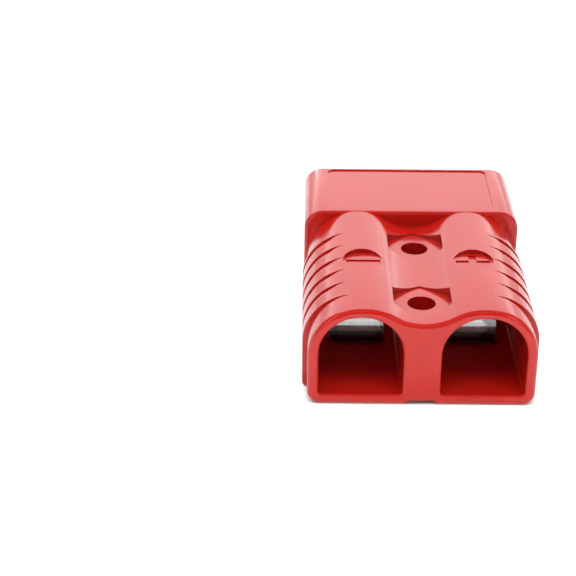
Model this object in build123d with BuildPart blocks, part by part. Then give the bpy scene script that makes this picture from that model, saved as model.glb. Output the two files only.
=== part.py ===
"""Genderless two-pole power connector: one moulded housing and its two steel leaf springs.

Units are millimetres. +Y runs from the cable end to the mating end, +Z is up, and the origin is the
middle of the flat underside. Lengths called a distance are counted from the cable end. Two of these
connectors mate face to face with one of them turned over, so nothing that passes the abutment may
cross the middle height.
"""

from build123d import *
from math import acos, asin, atan2, cos, degrees, radians, sin, sqrt, tan
import os

# Overall sizes of the housing
housing_length = 79.5
housing_height = 25.4
hood_width = 55.0

# Body section: two arched chambers with a valley between them
opening_width = 19.7
floor_thickness = 2.7
roof_thickness = 2.1
side_wall = 2.55
arch_radius = 12.2
crown_flat = 1.1
crown_step = 0.15
valley_depth = 3.8
bottom_corner_radius = 3.0
opening_corner_radius = 0.8

# Rounded edges of the cable end, as shares of the thinnest wall that they meet
front_edge_share = 0.62
opening_lip_share = 0.3

# Underside channel below the web between the chambers
channel_width = 8.2
channel_top_width = 6.0
channel_depth = 1.3

# Grip: raised lands with grooves between them
grip_start = 8.25
grip_rise = 1.15
grip_foot_radius = 1.2
grip_shoulder_drop = 12.65
land_lead = 0.2
land_tail = 0.8
land_start_offset = 1.7
land_root_depth = 0.05
groove_count = 6
groove_pitch = 6.45
groove_depth = 1.0
groove_tip_offset = 3.1
groove_foot_slope = 60.0
groove_ramp_slope = 9.0
groove_ramp_run = 1.0

# Hood and mating end
hood_length = 27.5
hood_corner_radius = 5.0
hood_front_radius = 0.8
hood_mouth_radius = 0.5
hood_wall = 2.5
flange_thickness = 3.5
cavity_relief = 1.0
partition_thickness = 7.2
partition_setback = 2.5
mating_clearance = 0.4
tongue_setback = 1.5
tongue_floor_height = 7.4
tongue_nose_radius = 1.2

# Contact passage from each chamber to the mating end
passage_width = 14.6
chamber_depth = 38.0
ramp_start = 44.0
ramp_length = 9.5

# Mounting holes and nut seats in the valley
mounting_hole_diameter = 6.7
mounting_hole_spacing = 28.4
first_hole_distance = 11.3
nut_across_flats = 13.6
nut_seat_depth = 0.35

# Polarity recesses on the crowns and label panel on the hood
mark_diameter = 9.8
mark_depth = 1.05
mark_offset = 1.0
mark_distance = 26.4
panel_side_margin = 6.3
panel_front_margin = 2.5
panel_back_margin = 1.2
panel_corner_radius = 1.8
panel_depth = 0.3

# Leaf springs
spring_width = 13.6
spring_thickness = 0.6
spring_tail_distance = 23.4
spring_tail_radius = 57.0
spring_tail_rise = 3.6
spring_tail_fall = 8.3
spring_bend_radius = 6.0
spring_bow_slope = 8.0
spring_hook_radius = 1.0
spring_hook_length = 2.4
spring_hook_clearance = 0.1
spring_corner_radius = 2.5

# Sizes that follow from those above: mating end
abutment = housing_length - hood_length + flange_thickness
cavity_start = abutment - cavity_relief
cavity_top = housing_height - hood_wall
cavity_outer = hood_width / 2 - hood_wall
cavity_inner = partition_thickness / 2
cavity_corner_radius = hood_corner_radius - hood_wall
shell_bottom = (housing_height + mating_clearance) / 2
tongue_bottom = hood_wall + mating_clearance
tongue_top = housing_height / 2 - mating_clearance
tongue_outer = cavity_outer - mating_clearance
tongue_inner = cavity_inner + mating_clearance
tongue_corner_radius = cavity_corner_radius + mating_clearance
tongue_end = housing_length - tongue_setback
ramp_end = ramp_start + ramp_length
passage_top = housing_height - tongue_floor_height

# Body section, with each chamber in line with its tongue
chamber_x = (cavity_inner + cavity_outer) / 2
opening_radius = opening_width / 2
crown_z = housing_height - crown_step
opening_arch_z = crown_z - roof_thickness - opening_radius
body_half = chamber_x + opening_radius + side_wall
body_length = housing_length - hood_length
crown_outer = body_half - arch_radius
crown_inner = crown_outer - crown_flat
valley_slope = 2 * degrees(atan2(valley_depth, crown_inner))
valley_radius = crown_inner / sin(radians(valley_slope)) - arch_radius
valley_z = crown_z - valley_depth
seat_z = valley_z - nut_seat_depth
front_edge_radius = front_edge_share * roof_thickness
opening_lip_radius = opening_lip_share * roof_thickness

# Grip, polarity recesses and label panel
grip_half = body_half + grip_rise
grip_end = grip_start + (groove_count - 1) * groove_pitch
grip_side_height = crown_z - grip_shoulder_drop
land_start = crown_outer + land_start_offset
land_start_rise = crown_z - arch_radius + sqrt(arch_radius**2 - land_start_offset**2)
land_rise = land_start_rise - land_root_depth - grip_side_height
land_run = grip_half - land_start
land_radius = (land_run**2 + land_rise**2) / (2 * land_run)
groove_tip_x = crown_outer + groove_tip_offset
groove_floor_half = grip_half - groove_depth
groove_radius = land_radius - groove_depth
groove_run_out = sqrt(land_radius**2 - groove_radius**2)
groove_tip_angle = degrees(asin((groove_tip_x - grip_half + land_radius) / land_radius))
groove_turn = 90 - groove_tip_angle - degrees(acos(groove_radius / land_radius))
groove_ramp_rise = groove_ramp_run * tan(radians(groove_ramp_slope))
groove_lip_share = cos(radians(groove_ramp_slope)) - cos(radians(groove_foot_slope))
groove_lip_radius = (groove_depth - groove_ramp_rise) / groove_lip_share
mark_x = chamber_x - mark_offset
panel_width = hood_width - 2 * panel_side_margin
panel_length = hood_length - panel_front_margin - panel_back_margin

# Overrun of cutters past the surface that they cut
past = 1.0


def at_distance(distance):
    """Y of a point counted from the cable end."""
    return distance - housing_length / 2


def section_plane(distance):
    """Plane across the housing at a distance from the cable end; its local axes are X and Z."""
    return Plane.XZ.offset(-at_distance(distance))


# Cutter for one pair of grip grooves, with its upright back wall at Y = 0. Its section is swept from
# the underside up the side and over the shoulder at one depth, then straight on, so that each groove
# runs out in a point on the shoulder. From its foot the section rolls over a lip and ends in a shallow
# ramp up to the surface.
with BuildPart() as groove:
    with BuildLine(Plane.XZ) as groove_path:
        upright = Line((groove_floor_half, -past), (groove_floor_half, grip_side_height))
        over = JernArc(upright @ 1, (0, 1), groove_radius, groove_turn)
        Line(over @ 1, over @ 1 + (groove_run_out + past) * (over % 1))
    with BuildSketch(Plane.XY.offset(-past)):
        with BuildLine():
            rise_way = (sin(radians(groove_foot_slope)), -cos(radians(groove_foot_slope)))
            lip_turn = groove_ramp_slope - groove_foot_slope
            lip = JernArc((groove_floor_half, 0), rise_way, groove_lip_radius, lip_turn)
            ramp = Line(lip @ 1, lip @ 1 + (groove_ramp_run + past) * (lip % 1))
            outer_x = grip_half + 2 * past
            Polyline(ramp @ 1, (outer_x, (ramp @ 1).Y), (outer_x, 0), (groove_floor_half, 0))
        make_face()
    sweep(path=groove_path.line)
    mirror(about=Plane.YZ)

# Outer block of the hood, rounded at the front edge and at the mouth
with BuildPart() as hood:
    with BuildSketch(section_plane(body_length)) as hood_section:
        with Locations((0, housing_height / 2)):
            Rectangle(hood_width, housing_height)
        fillet(hood_section.vertices().group_by(Axis.Y)[-1], hood_corner_radius)
        fillet(hood_section.vertices().group_by(Axis.Y)[0], bottom_corner_radius)
    extrude(amount=-hood_length)
    fillet(hood.faces().sort_by(Axis.Y)[0].edges(), hood_front_radius)
    fillet(hood.faces().sort_by(Axis.Y)[-1].edges(), hood_mouth_radius)

# Housing
with BuildPart() as housing:
    # body with its arches and valley, rounded towards the cable end
    with BuildSketch(section_plane(0)):
        with BuildLine():
            underside = Line((0, 0), (body_half - bottom_corner_radius, 0))
            foot = JernArc(underside @ 1, (1, 0), bottom_corner_radius, 90)
            side = Line(foot @ 1, (body_half, crown_z - arch_radius))
            arch = JernArc(side @ 1, (0, 1), arch_radius, 90)
            crown = Line(arch @ 1, (crown_inner, crown_z))
            shoulder = JernArc(crown @ 1, (-1, 0), arch_radius, valley_slope)
            valley = JernArc(shoulder @ 1, shoulder % 1, valley_radius, -valley_slope)
            Line(valley @ 1, (0, 0))
        make_face()
        mirror(about=Plane.YZ)
    extrude(amount=-body_length - hood_front_radius)
    fillet(housing.faces().sort_by(Axis.Y)[0].edges(), front_edge_radius)

    # grip lands, wider than the body before and behind: they start in the foot of the first groove and
    # end in a narrow ridge behind the last one
    with BuildSketch(section_plane(grip_start - land_lead)):
        with BuildLine():
            underside = Line((land_start, 0), (grip_half - grip_foot_radius, 0))
            foot = JernArc(underside @ 1, (1, 0), grip_foot_radius, 90)
            side = Line(foot @ 1, (grip_half, grip_side_height))
            land = TangentArc(side @ 1, (land_start, grip_side_height + land_rise), tangent=(0, 1))
            Line(land @ 1, (land_start, 0))
        make_face()
        mirror(about=Plane.YZ)
    extrude(amount=grip_start - land_lead - grip_end - land_tail)

    # hood, a hair higher than the crowns that run into its rounded front edge
    add(hood.part)

    # grip grooves
    with Locations([(0, at_distance(grip_start + i * groove_pitch), 0) for i in range(groove_count)]):
        add(groove.part, mode=Mode.SUBTRACT)

    # cable chambers with a rounded lip
    with BuildSketch(section_plane(0)) as opening:
        with BuildLine():
            wall_x = chamber_x + opening_radius
            wall = Line((wall_x, floor_thickness), (wall_x, opening_arch_z))
            vault = JernArc(wall @ 1, (0, 1), opening_radius, 180)
            Polyline(vault @ 1, (chamber_x - opening_radius, floor_thickness), wall @ 0)
        make_face()
        fillet(opening.vertices().group_by(Axis.Y)[0], opening_corner_radius)
        mirror(about=Plane.YZ)
    extrude(amount=-chamber_depth, mode=Mode.SUBTRACT)
    fillet(housing.faces().sort_by(Axis.Y)[0].inner_wires().edges(), opening_lip_radius)

    # contact passages: level, up a ramp, then along the top of each tongue
    with BuildSketch(Plane.YZ.offset(chamber_x - passage_width / 2)):
        with BuildLine():
            Polyline(
                (at_distance(chamber_depth - past), floor_thickness),
                (at_distance(ramp_start), floor_thickness),
                (at_distance(ramp_end), tongue_floor_height),
                (at_distance(housing_length + past), tongue_floor_height),
                (at_distance(housing_length + past), passage_top),
                (at_distance(chamber_depth - past), passage_top),
                close=True,
            )
        make_face()
    passage = extrude(amount=passage_width, mode=Mode.SUBTRACT)
    mirror(passage, about=Plane.YZ, mode=Mode.SUBTRACT)

    # upper half of the mating end: a cavity on each side of the partition
    with BuildSketch(section_plane(cavity_start)) as cavity:
        for side in (-1, 1):
            with Locations((side * (cavity_inner + cavity_outer) / 2, (tongue_top + cavity_top) / 2)):
                Rectangle(cavity_outer - cavity_inner, cavity_top - tongue_top)
        fillet(cavity.vertices().group_by(Axis.Y)[-1], cavity_corner_radius)
    extrude(amount=cavity_start - housing_length - past, mode=Mode.SUBTRACT)
    with BuildSketch(section_plane(housing_length - partition_setback)):
        with Locations((0, (tongue_top + cavity_top) / 2)):
            Rectangle(2 * (cavity_inner + cavity_corner_radius), cavity_top - tongue_top)
    extrude(amount=-partition_setback - past, mode=Mode.SUBTRACT)

    # lower half of the mating end: only the two tongues stay
    with BuildSketch(section_plane(abutment)) as lower_space:
        with Locations((0, (shell_bottom - past) / 2)):
            Rectangle(hood_width + 2 * past, shell_bottom + past)
        with BuildSketch(mode=Mode.PRIVATE) as tongues:
            for side in (-1, 1):
                with Locations((side * (tongue_inner + tongue_outer) / 2, (tongue_bottom + tongue_top) / 2)):
                    Rectangle(tongue_outer - tongue_inner, tongue_top - tongue_bottom)
            fillet(tongues.vertices().group_by(Axis.Y)[0], tongue_corner_radius)
        add(tongues.sketch, mode=Mode.SUBTRACT)
    extrude(amount=abutment - housing_length - past, mode=Mode.SUBTRACT)
    with BuildSketch(section_plane(tongue_end)):
        with Locations((0, (shell_bottom - past) / 2)):
            Rectangle(hood_width + 2 * past, shell_bottom + past)
    extrude(amount=-tongue_setback - past, mode=Mode.SUBTRACT)
    tongue_tops = housing.edges().filter_by(Axis.X).filter_by_position(
        Axis.Z, tongue_floor_height, tongue_floor_height
    )
    fillet(tongue_tops.group_by(Axis.Y)[-1], tongue_nose_radius)

    # underside channel below the web
    with BuildSketch(section_plane(-past)):
        with BuildLine():
            Polyline(
                (-channel_width / 2, 0),
                (-channel_top_width / 2, channel_depth),
                (channel_top_width / 2, channel_depth),
                (channel_width / 2, 0),
                close=True,
            )
        make_face()
    extrude(amount=-past - abutment - past, mode=Mode.SUBTRACT)

    # mounting holes through the web, each with its nut seat
    hole_row = Location((0, at_distance(first_hole_distance + mounting_hole_spacing / 2), 0))
    with BuildSketch(Plane.XY.offset(seat_z)):
        with Locations(hole_row):
            with GridLocations(0, mounting_hole_spacing, 1, 2):
                RegularPolygon(nut_across_flats / 2, 6, major_radius=False, rotation=30)
    extrude(amount=housing_height, mode=Mode.SUBTRACT)
    with BuildSketch(Plane.XY):
        with Locations(hole_row):
            with GridLocations(0, mounting_hole_spacing, 1, 2):
                Circle(mounting_hole_diameter / 2)
    extrude(amount=housing_height, mode=Mode.SUBTRACT)

    # round polarity recesses on the crowns
    with BuildSketch(Plane.XY.offset(crown_z - mark_depth)):
        with Locations((0, at_distance(mark_distance))):
            with GridLocations(2 * mark_x, 0, 2, 1):
                Circle(mark_diameter / 2)
    extrude(amount=housing_height, mode=Mode.SUBTRACT)

    # sunken label panel on the hood
    panel_middle = body_length + panel_front_margin + panel_length / 2
    with BuildSketch(Plane.XY.offset(housing_height)):
        with Locations((0, at_distance(panel_middle))):
            RectangleRounded(panel_width, panel_length, panel_corner_radius)
    extrude(amount=-panel_depth, mode=Mode.SUBTRACT)

# Leaf spring of the right chamber. Its underside runs from the bowed tail down to the chamber floor,
# up the ramp, in a bow above the tongue, and hooks over the tongue's nose.
ramp_angle = degrees(atan2(tongue_floor_height - floor_thickness, ramp_length))
tail_drop = spring_tail_radius * (cos(radians(spring_tail_rise)) - cos(radians(spring_tail_fall)))
landing_drop = spring_bend_radius * (1 - cos(radians(spring_tail_fall)))
bend_tangent = spring_bend_radius * (1 - cos(radians(ramp_angle))) / sin(radians(ramp_angle))
hook_run = spring_hook_radius * (1 - sin(radians(spring_bow_slope)))
hook_y = at_distance(tongue_end) + spring_hook_clearance

with BuildPart() as spring_right:
    with BuildSketch(Plane.YZ.offset(chamber_x - spring_width / 2)):
        with BuildLine():
            tail_start = (at_distance(spring_tail_distance), floor_thickness + landing_drop + tail_drop)
            tail_way = (cos(radians(spring_tail_rise)), sin(radians(spring_tail_rise)))
            tail = JernArc(tail_start, tail_way, spring_tail_radius, -spring_tail_rise - spring_tail_fall)
            landing = JernArc(tail @ 1, tail % 1, spring_bend_radius, spring_tail_fall)
            level = Line(landing @ 1, (at_distance(ramp_start) - bend_tangent, floor_thickness))
            foot = JernArc(level @ 1, (1, 0), spring_bend_radius, ramp_angle)
            climb = Line(foot @ 1, (at_distance(ramp_end), tongue_floor_height))
            knee = JernArc(climb @ 1, climb % 1, spring_bend_radius, spring_bow_slope - ramp_angle)
            bow_run = hook_y - hook_run - (knee @ 1).X
            bow_radius = bow_run / 2 / sin(radians(spring_bow_slope))
            bow = JernArc(knee @ 1, knee % 1, bow_radius, -2 * spring_bow_slope)
            hook = JernArc(bow @ 1, bow % 1, spring_hook_radius, spring_bow_slope - 90)
            Line(hook @ 1, hook @ 1 - Vector(0, spring_hook_length))
            offset(amount=spring_thickness, side=Side.LEFT, closed=True)
        make_face()
    extrude(amount=spring_width)
    tail_corners = spring_right.faces().sort_by(Axis.Y)[0].edges().filter_by(Axis.X, reverse=True)
    fillet(tail_corners, spring_corner_radius)

with BuildPart() as spring_left:
    mirror(spring_right.part, about=Plane.YZ)

housing.part.label = "housing"
spring_right.part.label = "spring_right"
spring_left.part.label = "spring_left"

if __name__ == "__main__":
    os.makedirs("parts", exist_ok=True)
    export_step(housing.part, "parts/housing.step")
    export_step(spring_left.part, "parts/spring_left.step")
    export_step(spring_right.part, "parts/spring_right.step")
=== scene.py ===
"""Looks for the genderless power connector: finishes, moulded polarity signs, camera and soft studio.

The housing is replaced by a copy of itself that also carries the two polarity signs. The springs keep
their meshes and get their steel.
"""

import logging
import math
from dataclasses import dataclass, field
from enum import Enum

import bmesh
import bpy
from mathutils import Matrix, Vector


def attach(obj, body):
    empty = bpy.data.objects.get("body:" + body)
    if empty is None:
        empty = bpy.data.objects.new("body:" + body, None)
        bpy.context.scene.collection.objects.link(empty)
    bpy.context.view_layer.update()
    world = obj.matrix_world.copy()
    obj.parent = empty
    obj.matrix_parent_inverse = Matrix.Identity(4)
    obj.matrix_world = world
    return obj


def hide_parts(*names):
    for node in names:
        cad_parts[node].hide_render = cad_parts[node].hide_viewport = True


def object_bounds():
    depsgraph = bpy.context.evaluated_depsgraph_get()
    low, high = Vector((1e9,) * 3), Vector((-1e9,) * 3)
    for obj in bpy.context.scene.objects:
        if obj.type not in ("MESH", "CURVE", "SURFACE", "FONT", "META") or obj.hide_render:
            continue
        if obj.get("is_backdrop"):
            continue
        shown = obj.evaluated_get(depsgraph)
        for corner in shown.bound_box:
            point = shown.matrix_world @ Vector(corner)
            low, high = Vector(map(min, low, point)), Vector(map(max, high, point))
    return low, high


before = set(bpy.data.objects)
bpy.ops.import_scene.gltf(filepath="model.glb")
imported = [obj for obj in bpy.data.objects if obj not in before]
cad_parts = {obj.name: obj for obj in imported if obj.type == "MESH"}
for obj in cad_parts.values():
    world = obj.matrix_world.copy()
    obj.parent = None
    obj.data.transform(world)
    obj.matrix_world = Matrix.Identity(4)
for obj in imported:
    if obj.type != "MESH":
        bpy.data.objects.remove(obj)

LOG = logging.getLogger("connector")
MM = 0.001
WHITE = (1.0, 1.0, 1.0, 1.0)
Pair = tuple[float, float]
Triple = tuple[float, float, float]


class Pole(Enum):
    """Polarity signs, each with the side of the housing that it stands on."""

    MINUS = -1
    PLUS = 1


def new_material(name: str) -> tuple[bpy.types.Material, bpy.types.Node, bpy.types.NodeSocket]:
    """Make a material.

    Args:
        name: Its name.

    Returns:
        The material, its Principled BSDF and its Object coordinates.
    """
    material = bpy.data.materials.new(name)
    material.use_nodes = True
    place = material.node_tree.nodes.new("ShaderNodeTexCoord")
    return material, material.node_tree.nodes["Principled BSDF"], place.outputs["Object"]


def add_math(
    tree: bpy.types.NodeTree, operation: str, *values: bpy.types.NodeSocket | float
) -> bpy.types.NodeSocket:
    """Add a Math node to a tree.

    Args:
        tree: The tree.
        operation: What the node does.
        values: What goes in, in order: the output of another node, or a constant.

    Returns:
        The node's output.
    """
    node = tree.nodes.new("ShaderNodeMath")
    node.operation = operation
    for value, socket in zip(values, node.inputs):
        if isinstance(value, bpy.types.NodeSocket):
            tree.links.new(value, socket)
        else:
            socket.default_value = value
    return node.outputs["Value"]


def add_ramp(
    tree: bpy.types.NodeTree, value: bpy.types.NodeSocket, band: Pair, top: float = 1.0
) -> bpy.types.NodeSocket:
    """Add a ramp to a tree.

    Args:
        tree: The tree.
        value: What goes in.
        band: Value where the ramp is at nought, and value where it is at its top.
        top: What comes out at the top.

    Returns:
        The ramp's output.
    """
    ramp = tree.nodes.new("ShaderNodeMapRange")
    ramp.inputs["From Min"].default_value, ramp.inputs["From Max"].default_value = band
    ramp.inputs["To Max"].default_value = top
    tree.links.new(value, ramp.inputs["Value"])
    return ramp.outputs["Result"]


@dataclass(frozen=True)
class SurfaceGroups:
    """Shader node groups that the plastic and the steel share."""

    mottle_name: str = "Fine mottle"
    mottle_detail: float = 4.0
    mottle_grain: float = 0.6
    mottle_band: Pair = (0.3, 0.7)
    ripple_name: str = "Soft ripple"
    coarse_detail: float = 1.0
    fine_detail: float = 3.0
    fine_factor: float = 9.0

    def start(
        self, name: str, inputs: tuple[str, ...], output: str
    ) -> tuple[bpy.types.NodeTree, bpy.types.Node, bpy.types.Node]:
        """Begin a group that takes a Vector and some numbers, and gives a number.

        Args:
            name: Name of the group.
            inputs: Names of the numbers that it takes.
            output: Name of the number that it gives.

        Returns:
            The group, its input node and its output node.
        """
        group = bpy.data.node_groups.new(name, "ShaderNodeTree")
        sockets = group.interface
        sockets.new_socket(name="Vector", socket_type="NodeSocketVector", in_out="INPUT")
        for label in inputs:
            sockets.new_socket(name=label, socket_type="NodeSocketFloat", in_out="INPUT")
        sockets.new_socket(name=output, socket_type="NodeSocketFloat", in_out="OUTPUT")
        return group, group.nodes.new("NodeGroupInput"), group.nodes.new("NodeGroupOutput")

    def mottle(self) -> bpy.types.NodeTree:
        """Build the group that varies a value between two limits by a noise, or find it.

        Returns:
            The group, with inputs Vector, Scale, Low and High and the output Value.
        """
        if self.mottle_name in bpy.data.node_groups:
            return bpy.data.node_groups[self.mottle_name]
        group, come, leave = self.start(self.mottle_name, ("Scale", "Low", "High"), "Value")
        nodes, links = group.nodes, group.links
        noise, spread = nodes.new("ShaderNodeTexNoise"), nodes.new("ShaderNodeMapRange")
        noise.inputs["Detail"].default_value = self.mottle_detail
        noise.inputs["Roughness"].default_value = self.mottle_grain
        spread.inputs["From Min"].default_value, spread.inputs["From Max"].default_value = self.mottle_band
        links.new(come.outputs["Vector"], noise.inputs["Vector"])
        links.new(come.outputs["Scale"], noise.inputs["Scale"])
        links.new(noise.outputs["Fac"], spread.inputs["Value"])
        links.new(come.outputs["Low"], spread.inputs["To Min"])
        links.new(come.outputs["High"], spread.inputs["To Max"])
        links.new(spread.outputs["Result"], leave.inputs["Value"])
        return group

    def ripple(self) -> bpy.types.NodeTree:
        """Build the group that gives a bump height from a coarse and a fine noise, or find it.

        Returns:
            The group, with inputs Vector, Scale and Fine Share and the output Height.
        """
        if self.ripple_name in bpy.data.node_groups:
            return bpy.data.node_groups[self.ripple_name]
        group, come, leave = self.start(self.ripple_name, ("Scale", "Fine Share"), "Height")
        nodes, links = group.nodes, group.links
        coarse, fine = nodes.new("ShaderNodeTexNoise"), nodes.new("ShaderNodeTexNoise")
        coarse.inputs["Detail"].default_value = self.coarse_detail
        fine.inputs["Detail"].default_value = self.fine_detail
        mix = nodes.new("ShaderNodeMix")
        links.new(come.outputs["Vector"], coarse.inputs["Vector"])
        links.new(come.outputs["Vector"], fine.inputs["Vector"])
        links.new(come.outputs["Scale"], coarse.inputs["Scale"])
        links.new(add_math(group, "MULTIPLY", come.outputs["Scale"], self.fine_factor), fine.inputs["Scale"])
        links.new(come.outputs["Fine Share"], mix.inputs["Factor"])
        links.new(coarse.outputs["Fac"], mix.inputs["A"])
        links.new(fine.outputs["Fac"], mix.inputs["B"])
        links.new(mix.outputs["Result"], leave.inputs["Height"])
        return group


@dataclass(frozen=True)
class Finish:
    """A surface whose colour and roughness are mottled and that ripples faintly. Sizes in metres.

    The colour lies between dark and light, and the roughness between smooth and rough. The scales are
    those of the noises. Sub-classes give the values.
    """

    name: str
    dark: Triple
    light: Triple
    colour_scale: float
    smooth: float
    rough: float
    sheen_scale: float
    ripple_scale: float
    fine_share: float
    ripple_height: float
    ripple_strength: float = 0.25
    metallic: float = 0.0
    ior: float = 1.5
    stretch: Triple = (1.0, 1.0, 1.0)
    groups: SurfaceGroups = field(default_factory=SurfaceGroups)

    def add_group(
        self, group: bpy.types.NodeTree, vector: bpy.types.NodeSocket, **values: float
    ) -> bpy.types.NodeSocket:
        """Place a node group in the material.

        Args:
            group: The node group.
            vector: Output in the material that feeds its Vector input.
            values: Values of its other inputs, with _ for a space.

        Returns:
            The group's output.
        """
        tree = vector.id_data
        node = tree.nodes.new("ShaderNodeGroup")
        node.node_tree = group
        tree.links.new(vector, node.inputs["Vector"])
        for key, value in values.items():
            node.inputs[key.replace("_", " ")].default_value = value
        return node.outputs[0]

    def build(self) -> bpy.types.Material:
        """Make the material.

        Returns:
            The finished material.
        """
        material, shader, place = new_material(self.name)
        nodes, links = material.node_tree.nodes, material.node_tree.links
        mapping, blend = nodes.new("ShaderNodeMapping"), nodes.new("ShaderNodeMix")
        bump = nodes.new("ShaderNodeBump")
        mapping.inputs["Scale"].default_value = self.stretch
        links.new(place, mapping.inputs["Vector"])
        spot = mapping.outputs["Vector"]
        mottle, ripple = self.groups.mottle(), self.groups.ripple()
        mask = self.add_group(mottle, spot, Scale=self.colour_scale, Low=0.0, High=1.0)
        sheen = self.add_group(mottle, spot, Scale=self.sheen_scale, Low=self.smooth, High=self.rough)
        height = self.add_group(ripple, spot, Scale=self.ripple_scale, Fine_Share=self.fine_share)
        blend.data_type = "RGBA"
        blend.inputs["A"].default_value = (*self.dark, 1.0)
        blend.inputs["B"].default_value = (*self.light, 1.0)
        links.new(mask, blend.inputs["Factor"])
        links.new(blend.outputs["Result"], shader.inputs["Base Color"])
        links.new(sheen, shader.inputs["Roughness"])
        bump.inputs["Distance"].default_value = self.ripple_height
        bump.inputs["Strength"].default_value = self.ripple_strength
        links.new(height, bump.inputs["Height"])
        links.new(bump.outputs["Normal"], shader.inputs["Normal"])
        shader.inputs["Metallic"].default_value = self.metallic
        shader.inputs["IOR"].default_value = self.ior
        return material


@dataclass(frozen=True)
class RedPlastic(Finish):
    """Glossy injection-moulded polycarbonate, coloured through."""

    name: str = "Glossy red plastic"
    dark: Triple = (0.365, 0.0070, 0.0040)
    light: Triple = (0.405, 0.0094, 0.0053)
    colour_scale: float = 90.0
    smooth: float = 0.13
    rough: float = 0.19
    sheen_scale: float = 240.0
    ripple_scale: float = 180.0
    fine_share: float = 0.15
    ripple_height: float = 0.00004
    ior: float = 1.52


@dataclass(frozen=True)
class SpringSteel(Finish):
    """Polished stainless strip with the faint lengthwise streaks of its rolling."""

    name: str = "Polished spring steel"
    dark: Triple = (0.15, 0.148, 0.146)
    light: Triple = (0.21, 0.207, 0.202)
    colour_scale: float = 1400.0
    smooth: float = 0.04
    rough: float = 0.10
    sheen_scale: float = 2200.0
    ripple_scale: float = 1800.0
    fine_share: float = 0.4
    ripple_height: float = 0.00002
    metallic: float = 1.0
    stretch: Triple = (1.0, 0.03, 1.0)


@dataclass(frozen=True)
class PaleFloor:
    """Plain pale studio floor, lifted towards white where the camera or a reflection sees it.

    Below the object the camera sees it without the lift, which leaves a painted shade there. Sizes in
    metres.
    """

    name: str = "Pale floor"
    colour: Triple = (0.86, 0.86, 0.86)
    roughness: float = 0.9
    specular: float = 0.1
    camera_lift: float = 0.30
    glossy_lift: float = 0.05
    # Box below the object where the floor gets no camera lift: a painted shade.
    footprint: Pair = (0.0278, 0.0400)
    blur: float = 0.0015

    def add_painted_shade_mask(self, tree: bpy.types.NodeTree, place: bpy.types.NodeSocket) -> bpy.types.NodeSocket:
        """Add the nodes that tell the floor beside the object from the floor below it, where a painted shade
        is kept.

        Args:
            tree: The material's tree.
            place: Object coordinates.

        Returns:
            1 beside the object, 0 below it, where the floor gets no lift and so shows a painted shade.
        """
        split = tree.nodes.new("ShaderNodeSeparateXYZ")
        tree.links.new(place, split.inputs["Vector"])
        past = []
        for axis, edge in zip("XY", self.footprint):
            distance = add_math(tree, "ABSOLUTE", split.outputs[axis])
            past.append(add_ramp(tree, distance, (edge - self.blur, edge)))
        return add_math(tree, "MAXIMUM", *past)

    def build(self) -> bpy.types.Material:
        """Make the material.

        Returns:
            The finished material.
        """
        material, shader, place = new_material(self.name)
        tree = material.node_tree
        path = tree.nodes.new("ShaderNodeLightPath")
        # Camera lift only beside the object; below it the unlifted floor is a painted shade.
        seen = add_math(tree, "MULTIPLY", path.outputs["Is Camera Ray"], self.add_painted_shade_mask(tree, place))
        mirrored = add_math(tree, "MULTIPLY", path.outputs["Is Glossy Ray"], self.glossy_lift)
        lift = add_math(tree, "MULTIPLY_ADD", seen, self.camera_lift, mirrored)
        tree.links.new(lift, shader.inputs["Emission Strength"])
        shader.inputs["Emission Color"].default_value = WHITE
        shader.inputs["Base Color"].default_value = (*self.colour, 1.0)
        shader.inputs["Roughness"].default_value = self.roughness
        shader.inputs["Specular IOR Level"].default_value = self.specular
        return material


@dataclass
class PolaritySigns:
    """Minus and plus signs, sunk into the floors of the two round recesses. Sizes in millimetres.

    The clearance is how far a sign's cutter stands above the recess's floor.
    """

    spacing: float = 26.6
    centre_y: float = -13.35
    floor_z: float = 24.2
    depth: float = 0.3
    bar_length: float = 8.3
    upright_length: float = 7.2
    stroke: float = 1.9
    clearance: float = 0.6

    def outline(self, pole: Pole) -> list[Pair]:
        """List the corners of a sign, anticlockwise seen from above.

        Args:
            pole: The sign.

        Returns:
            The corners, measured from the sign's centre.
        """
        half, bar, up = self.stroke / 2, self.bar_length / 2, self.upright_length / 2
        if pole is Pole.MINUS:
            return [(-bar, -half), (bar, -half), (bar, half), (-bar, half)]
        return [
            (-bar, -half), (-half, -half), (-half, -up), (half, -up), (half, -half), (bar, -half),
            (bar, half), (half, half), (half, up), (-half, up), (-half, half), (-bar, half),
        ]

    def build_cutter(self, pole: Pole) -> bpy.types.Object:
        """Make the closed prism that a sign takes out of the housing.

        Args:
            pole: The sign.

        Returns:
            The prism, in its place.
        """
        outline = self.outline(pole)
        count = len(outline)
        centre_x = pole.value * self.spacing / 2
        low, high = self.floor_z - self.depth, self.floor_z + self.clearance
        corners = [
            ((centre_x + x) * MM, (self.centre_y + y) * MM, z * MM) for z in (low, high) for x, y in outline
        ]
        ends = [tuple(reversed(range(count))), tuple(range(count, 2 * count))]
        sides = [(i, (i + 1) % count, (i + 1) % count + count, i + count) for i in range(count)]
        data = bpy.data.meshes.new(f"cutter_{pole.name.lower()}")
        data.from_pydata(corners, [], ends + sides)
        cutter = bpy.data.objects.new(data.name, data)
        bpy.context.scene.collection.objects.link(cutter)
        return cutter


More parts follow.
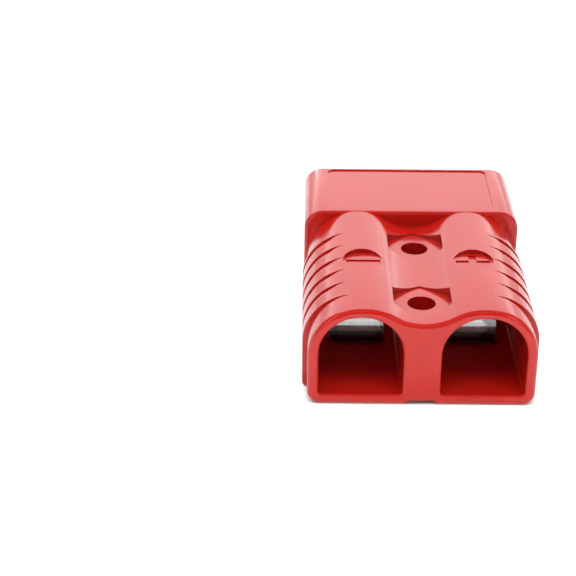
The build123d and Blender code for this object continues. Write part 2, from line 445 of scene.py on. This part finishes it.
@dataclass
class Housing:
    """The moulded housing: the CAD shape with its polarity signs. Sizes in millimetres.

    The grooves lie between grip_start and grip_end along Y, and further out along X than grip_inner.
    A face's lean is the Y of its normal: more than ramp_lean on a groove's ramp, and less than
    land_lean on the land beside it.
    """

    finish: RedPlastic = field(default_factory=RedPlastic)
    signs: PolaritySigns = field(default_factory=PolaritySigns)
    node: str = "housing"
    weld: float = 0.001
    smooth_angle: float = 28.0
    grip_start: float = -34.0
    grip_end: float = 2.0
    grip_inner: float = 12.0
    ramp_lean: float = 0.08
    land_lean: float = 0.04

    def sink_signs(self) -> bpy.types.Mesh:
        """Copy the CAD node's mesh, weld it and take both signs out of the copy.

        Returns:
            The new mesh.
        """
        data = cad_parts[self.node].data.copy()
        data.name = "housing_with_signs"
        mesh = bmesh.new()
        mesh.from_mesh(data)
        bmesh.ops.remove_doubles(mesh, verts=mesh.verts, dist=self.weld * MM)
        mesh.to_mesh(data)
        mesh.free()
        blank = bpy.data.objects.new("housing_blank", data)
        bpy.context.scene.collection.objects.link(blank)
        cutters = [self.signs.build_cutter(pole) for pole in Pole]
        for cutter in cutters:
            cut = blank.modifiers.new(cutter.name, "BOOLEAN")
            cut.operation, cut.solver, cut.object = "DIFFERENCE", "EXACT", cutter
        graph = bpy.context.evaluated_depsgraph_get()
        shape = bpy.data.meshes.new_from_object(blank.evaluated_get(graph))
        for scrap in (blank, *cutters):
            bpy.data.objects.remove(scrap)
        return shape

    def shade(self, shape: bpy.types.Mesh) -> None:
        """Shade the mesh smooth, with its sharp edges and the edges of the grip grooves' ramps kept.

        Args:
            shape: The housing's mesh.
        """
        mesh = bmesh.new()
        mesh.from_mesh(shape)
        limit = math.radians(self.smooth_angle)
        for face in mesh.faces:
            face.smooth = True
        for edge in mesh.edges:
            round_edge = len(edge.link_faces) == 2 and edge.calc_face_angle(math.pi) < limit
            edge.smooth = round_edge and not self.is_ramp_edge(edge)
        mesh.to_mesh(shape)
        mesh.free()

    def is_ramp_edge(self, edge: bmesh.types.BMEdge) -> bool:
        """Tell whether a grip groove's ramp meets a land at an edge.

        Args:
            edge: An edge of the housing's mesh.

        Returns:
            True for such an edge.
        """
        middle = (edge.verts[0].co + edge.verts[1].co) / 2 / MM
        if abs(middle.x) < self.grip_inner or not self.grip_start < middle.y < self.grip_end:
            return False
        leans = sorted(face.normal.y for face in edge.link_faces)
        return leans[0] < self.land_lean and leans[-1] > self.ramp_lean

    def build(self) -> bpy.types.Object:
        """Build the housing and dress it.

        Returns:
            The finished piece.
        """
        shape = self.sink_signs()
        piece = bpy.data.objects.new("moulded_housing", shape)
        bpy.context.scene.collection.objects.link(piece)
        shape.materials.clear()
        shape.materials.append(self.finish.build())
        self.shade(shape)
        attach(piece, "root")
        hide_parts(self.node)
        LOG.info("housing: %d faces", len(shape.polygons))
        return piece


@dataclass
class LeafSprings:
    """The two steel leaf springs, which keep their CAD meshes."""

    finish: SpringSteel = field(default_factory=SpringSteel)
    node_names: tuple[str, ...] = ("spring_left", "spring_right")

    def build(self) -> list[bpy.types.Object]:
        """Dress both springs.

        Returns:
            The two CAD nodes.
        """
        steel = self.finish.build()
        springs = [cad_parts[name] for name in self.node_names]
        for spring in springs:
            spring.data.materials.clear()
            spring.data.materials.append(steel)
            LOG.info("%s: dressed", spring.name)
        return springs


@dataclass(frozen=True)
class SoftLight:
    """A large area light that the camera doesn't see. Glossy surfaces mirror it unless told not to.

    Sizes in metres.
    """

    name: str
    place: Triple
    aim: Triple
    size: Pair
    watts: float
    mirrored: bool = True

    def build(self) -> bpy.types.Object:
        """Make the light.

        Returns:
            The light object.
        """
        data = bpy.data.lights.new(self.name, "AREA")
        data.shape = "RECTANGLE"
        data.size, data.size_y = self.size
        data.energy = self.watts
        light = bpy.data.objects.new(self.name, data)
        light.location = self.place
        way = Vector(self.aim) - Vector(self.place)
        light.rotation_euler = way.to_track_quat("-Z", "Y").to_euler()
        light.visible_camera = False
        light.visible_glossy = self.mirrored
        bpy.context.scene.collection.objects.link(light)
        return light


@dataclass(frozen=True)
class SoftSky:
    """White sky to the camera, and to all else a dim dome with a glow low behind the object.

    The bands are values of the view direction's Y and Z: where the glow is out, and where it is full.
    """

    dome: float = 0.15
    glow: float = 1.10
    turn: Pair = (-0.25, 0.15)
    height: Pair = (0.30, 0.22)
    to_camera: float = 1.0

    def build(self) -> bpy.types.World:
        """Make the sky and set it as the scene's.

        Returns:
            The world.
        """
        world = bpy.data.worlds.new("studio")
        world.use_nodes = True
        tree = world.node_tree
        place, split = tree.nodes.new("ShaderNodeTexCoord"), tree.nodes.new("ShaderNodeSeparateXYZ")
        path, strength = tree.nodes.new("ShaderNodeLightPath"), tree.nodes.new("ShaderNodeMapRange")
        tree.links.new(place.outputs["Generated"], split.inputs["Vector"])
        behind = add_ramp(tree, split.outputs["Y"], self.turn)
        low = add_ramp(tree, split.outputs["Z"], self.height, self.glow)
        tree.links.new(path.outputs["Is Camera Ray"], strength.inputs["Value"])
        tree.links.new(add_math(tree, "MULTIPLY_ADD", behind, low, self.dome), strength.inputs["To Min"])
        strength.inputs["To Max"].default_value = self.to_camera
        background = tree.nodes["Background"]
        background.inputs["Color"].default_value = WHITE
        tree.links.new(strength.outputs["Result"], background.inputs["Strength"])
        bpy.context.scene.world = world
        return world


@dataclass
class Studio:
    """Camera at the photo's viewpoint, pale floor, soft sky and soft lights. Metres and degrees.

    The lens and the sensor are in millimetres.
    """

    camera_place: Triple = (-0.02897, -0.35126, 0.19815)
    pitch: float = 61.77
    turn: float = 0.42
    roll: float = 0.31
    lens: float = 98.07
    sensor: float = 36.0
    clip_start: float = 0.01
    floor_half: float = 3.0
    floor: PaleFloor = field(default_factory=PaleFloor)
    sky: SoftSky = field(default_factory=SoftSky)
    lights: tuple[SoftLight, ...] = (
        SoftLight("back_softbox", (0.0, 0.62, 0.38), (0.0, 0.0, 0.01), (1.40, 0.46), 4.0),
        SoftLight("top_softbox", (0.0, 0.44, 0.74), (0.0, 0.0, 0.0), (1.20, 0.28), 4.0),
        SoftLight("back_strip", (0.0, 1.20, 0.11), (0.0, 0.0, 0.02), (0.60, 0.20), 1.3),
        SoftLight("high_softbox", (0.0, 0.30, 0.80), (0.0, 0.0, 0.0), (1.00, 0.30), 2.2, False),
        SoftLight("front_softbox", (0.0, -0.32, 0.76), (0.0, 0.0, 0.0), (1.00, 0.30), 5.8, False),
        SoftLight("front_strip", (0.0, -0.55, 0.025), (0.0, 0.0, 0.012), (0.90, 0.04), 2.3, False),
        SoftLight("left_softbox", (-0.75, -0.50, 0.55), (0.0, 0.0, 0.01), (0.30, 0.50), 1.0),
        SoftLight("right_softbox", (0.75, -0.50, 0.55), (0.0, 0.0, 0.01), (0.30, 0.50), 1.0),
    )

    def build_camera(self) -> bpy.types.Object:
        """Make the camera and set it as the scene's.

        Returns:
            The camera object.
        """
        data = bpy.data.cameras.new("photo_camera")
        data.lens = self.lens
        data.sensor_width = self.sensor
        data.clip_start = self.clip_start
        camera = bpy.data.objects.new("photo_camera", data)
        turn, tilt, roll = (
            Matrix.Rotation(math.radians(angle), 4, axis)
            for angle, axis in ((self.turn, "Z"), (self.pitch, "X"), (self.roll, "Z"))
        )
        camera.matrix_world = Matrix.Translation(self.camera_place) @ turn @ tilt @ roll
        bpy.context.scene.collection.objects.link(camera)
        bpy.context.scene.camera = camera
        return camera

    def build_floor(self) -> bpy.types.Object:
        """Make the floor.

        Returns:
            The floor object.
        """
        data = bpy.data.meshes.new("floor")
        half = self.floor_half
        corners = [(-half, -half, 0), (half, -half, 0), (half, half, 0), (-half, half, 0)]
        data.from_pydata(corners, [], [(0, 1, 2, 3)])
        data.materials.append(self.floor.build())
        floor = bpy.data.objects.new("floor", data)
        bpy.context.scene.collection.objects.link(floor)
        floor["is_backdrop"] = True
        return floor

    def build(self) -> None:
        """Set the whole studio up."""
        self.build_camera()
        self.build_floor()
        self.sky.build()
        for light in self.lights:
            light.build()
        bpy.context.scene.view_settings.view_transform = "Standard"
        LOG.info("studio: %d lights", len(self.lights))


def plain(bounds: object) -> object:
    """Turn bounds into plain lists of numbers.

    Args:
        bounds: Nested vectors, tuples or a dictionary of them.

    Returns:
        The same values as lists of numbers.
    """
    if isinstance(bounds, dict):
        return {key: plain(value) for key, value in bounds.items()}
    if isinstance(bounds, (str, int, float)) or bounds is None:
        return bounds
    return [plain(value) for value in bounds]


def main() -> None:
    """Build every piece in order."""
    logging.basicConfig(level=logging.INFO, format="%(name)s: %(message)s")
    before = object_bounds()
    Housing().build()
    LeafSprings().build()
    Studio().build()
    {"cad": plain(before), "visual": plain(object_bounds())}


if __name__ == "__main__":
    main()
